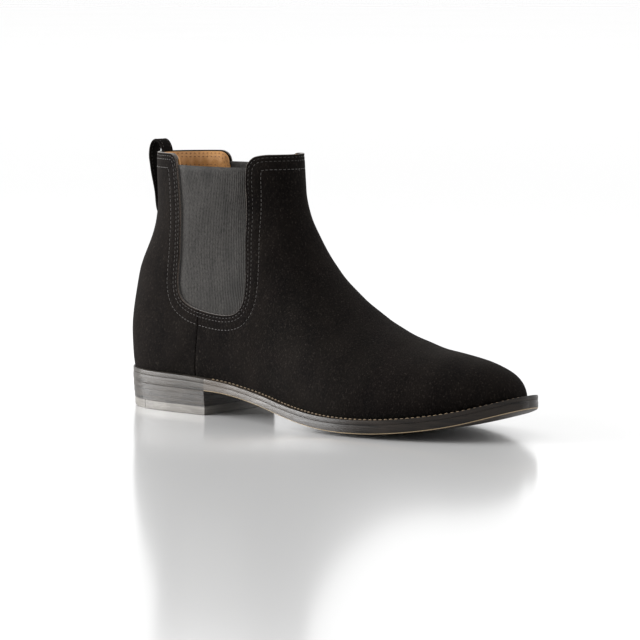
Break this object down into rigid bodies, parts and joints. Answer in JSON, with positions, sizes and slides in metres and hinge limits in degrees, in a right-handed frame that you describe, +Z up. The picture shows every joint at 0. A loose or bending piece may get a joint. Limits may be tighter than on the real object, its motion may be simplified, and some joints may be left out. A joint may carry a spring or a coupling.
{
  "type": "chelsea boot",
  "caption": "Ankle-high slip-on boot for the right foot: suede upper with an elastic gore on each side, welted leather sole, stacked heel and a pull tab.",
  "frame": {"origin": "on the floor, at the centre of the boot's footprint box", "axes": "+X towards the toe, +Y towards the inner (medial) side of a right foot, +Z up"},
  "size_m": [0.2974, 0.1038, 0.1684],
  "materials": {
    "suede": "brushed suede, near-black brown",
    "elastic": "ribbed woven elastic, charcoal",
    "lining": "smooth calf lining, tan",
    "interlining": "cotton drill",
    "stiffener": "leatherboard",
    "sole_leather": "burnished dark edge",
    "heel_leather": "stacked leather, burnished grey",
    "insole_board": "vegetable-tanned leather",
    "cork": "ground cork",
    "rubber": "ribbed rubber",
    "steel": "spring steel",
    "brass": "brass"
  },
  "bodies": {
    "root": {"vamp": "suede", "quarter_lateral": "suede", "quarter_medial": "suede", "pull_tab_outer_leg": "suede", "pull_tab_inner_leg": "suede", "gore_lateral": "elastic", "gore_medial": "elastic", "vamp_lining": "lining", "quarter_lining_lateral": "lining", "quarter_lining_medial": "lining", "sock_lining": "lining", "vamp_interlining": "interlining", "quarter_interlining_lateral": "interlining", "quarter_interlining_medial": "interlining", "gemming_rib": "interlining", "toe_puff": "stiffener", "heel_counter": "stiffener", "welt": "sole_leather", "outsole": "sole_leather", "heel_rand": "heel_leather", "heel_lift_1": "heel_leather", "heel_lift_2": "heel_leather", "heel_lift_3": "heel_leather", "heel_top_piece": "heel_leather", "insole": "insole_board", "cork_filler": "cork", "heel_top_rubber": "rubber", "shank": "steel", "heel_nail_1": "brass", "heel_nail_2": "brass", "heel_nail_3": "brass", "heel_nail_4": "brass", "heel_nail_5": "brass", "heel_nail_6": "brass"},
    "shaft_front_leaf": {"shaft_front": "suede", "shaft_front_interlining": "interlining", "shaft_front_lining": "lining"},
    "pull_tab": {"pull_tab_loop": "suede"}
  },
  "joints": [
    {"name": "shaft_front_tilt", "type": "hinge", "parent": "root", "child": "shaft_front_leaf", "pos_m": [-0.0109, -0.00196, 0.111], "axis": [0, 1, 0], "range_deg": [0, 12], "stiffness_Nm_per_rad": 1, "deforming": ["gore_lateral", "gore_medial"]},
    {"name": "pull_tab_flex", "type": "hinge", "parent": "root", "child": "pull_tab", "pos_m": [-0.1311, -0.00196, 0.16125], "axis": [0, 1, 0], "range_deg": [-12, 20], "stiffness_Nm_per_rad": 0.002}
  ]
}
